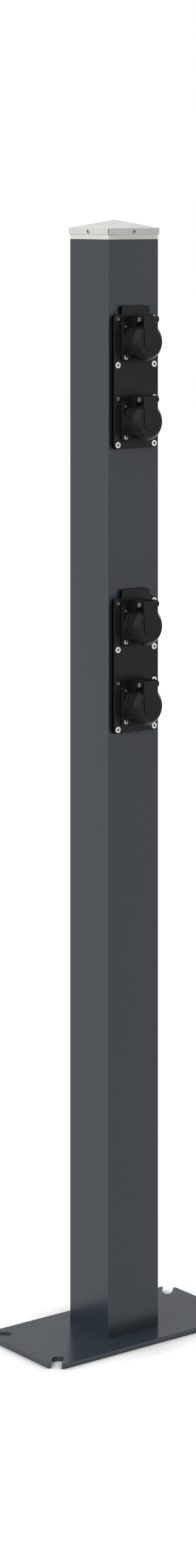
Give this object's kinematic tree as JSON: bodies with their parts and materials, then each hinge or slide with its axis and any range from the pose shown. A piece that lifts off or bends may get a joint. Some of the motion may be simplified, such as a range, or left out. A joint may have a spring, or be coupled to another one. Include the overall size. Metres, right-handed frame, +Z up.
{
  "type": "e-bike charging station",
  "caption": "Square floor-standing charging post for e-bikes, with sprung-lid sockets in two modules on its front and a slotted base plate.",
  "frame": {"origin": "on the floor under the post's axis, in the middle of the base plate's underside", "axes": "+Z up along the post, -Y out of the face with the sockets, X along the base plate's long side"},
  "size_m": [0.3, 0.1515, 1.413],
  "materials": {
    "column_paint": "semi-gloss anthracite",
    "collar_metal": "satin",
    "cap_paint": "matte",
    "screw_steel": "bright",
    "plate_plastic": "glossy black",
    "gasket_rubber": "matte black",
    "housing_plastic": "semi-gloss black",
    "lid_plastic": "semi-gloss black",
    "insert_plastic": "matte black",
    "contact_brass": "bright",
    "hinge_steel": "bright",
    "rail_steel": "zinc plated",
    "terminal_grey": "light grey",
    "earth_green": "green and yellow",
    "lead_sheath": "black sheath"
  },
  "bodies": {
    "column": {"base_plate": "column_paint", "post_tube": "column_paint", "top_collar": "collar_metal", "top_cap": "cap_paint", "cap_screws": "screw_steel", "upper_plate": "plate_plastic", "lower_plate": "plate_plastic", "upper_gasket": "gasket_rubber", "lower_gasket": "gasket_rubber", "upper_plate_screws": "screw_steel", "lower_plate_screws": "screw_steel", "housing_1": "housing_plastic", "housing_2": "housing_plastic", "housing_3": "housing_plastic", "housing_4": "housing_plastic", "insert_1": "insert_plastic", "insert_2": "insert_plastic", "insert_3": "insert_plastic", "insert_4": "insert_plastic", "contacts_1": "contact_brass", "contacts_2": "contact_brass", "contacts_3": "contact_brass", "contacts_4": "contact_brass", "earth_clip_1": "contact_brass", "earth_clip_2": "contact_brass", "earth_clip_3": "contact_brass", "earth_clip_4": "contact_brass", "flange_screws_1": "screw_steel", "flange_screws_2": "screw_steel", "flange_screws_3": "screw_steel", "flange_screws_4": "screw_steel", "hinge_pin_1": "hinge_steel", "hinge_pin_2": "hinge_steel", "hinge_pin_3": "hinge_steel", "hinge_pin_4": "hinge_steel", "hinge_spring_1": "hinge_steel", "hinge_spring_2": "hinge_steel", "hinge_spring_3": "hinge_steel", "hinge_spring_4": "hinge_steel", "insert_screws": "screw_steel", "terminal_rail": "rail_steel", "rail_nuts": "screw_steel", "feed_terminals": "terminal_grey", "earth_terminal": "earth_green", "lead_1": "lead_sheath", "lead_2": "lead_sheath", "lead_3": "lead_sheath", "lead_4": "lead_sheath", "earth_bond": "earth_green"},
    "socket_lid_1": {"lid_1": "lid_plastic", "lid_seal_1": "gasket_rubber"},
    "socket_lid_2": {"lid_2": "lid_plastic", "lid_seal_2": "gasket_rubber"},
    "socket_lid_3": {"lid_3": "lid_plastic", "lid_seal_3": "gasket_rubber"},
    "socket_lid_4": {"lid_4": "lid_plastic", "lid_seal_4": "gasket_rubber"}
  },
  "joints": [
    {"name": "lid_hinge_1", "type": "hinge", "parent": "column", "child": "socket_lid_1", "pos_m": [0, -0.07, 1.28785], "axis": [-1, 0, 0], "range_deg": [0, 100], "stiffness_Nm_per_rad": 0.03, "springref_deg": -28.65},
    {"name": "lid_hinge_2", "type": "hinge", "parent": "column", "child": "socket_lid_2", "pos_m": [0, -0.07, 1.18735], "axis": [-1, 0, 0], "range_deg": [0, 100], "stiffness_Nm_per_rad": 0.03, "springref_deg": -28.65},
    {"name": "lid_hinge_3", "type": "hinge", "parent": "column", "child": "socket_lid_3", "pos_m": [0, -0.07, 0.92985], "axis": [-1, 0, 0], "range_deg": [0, 100], "stiffness_Nm_per_rad": 0.03, "springref_deg": -28.65},
    {"name": "lid_hinge_4", "type": "hinge", "parent": "column", "child": "socket_lid_4", "pos_m": [0, -0.07, 0.82935], "axis": [-1, 0, 0], "range_deg": [0, 100], "stiffness_Nm_per_rad": 0.03, "springref_deg": -28.65}
  ]
}
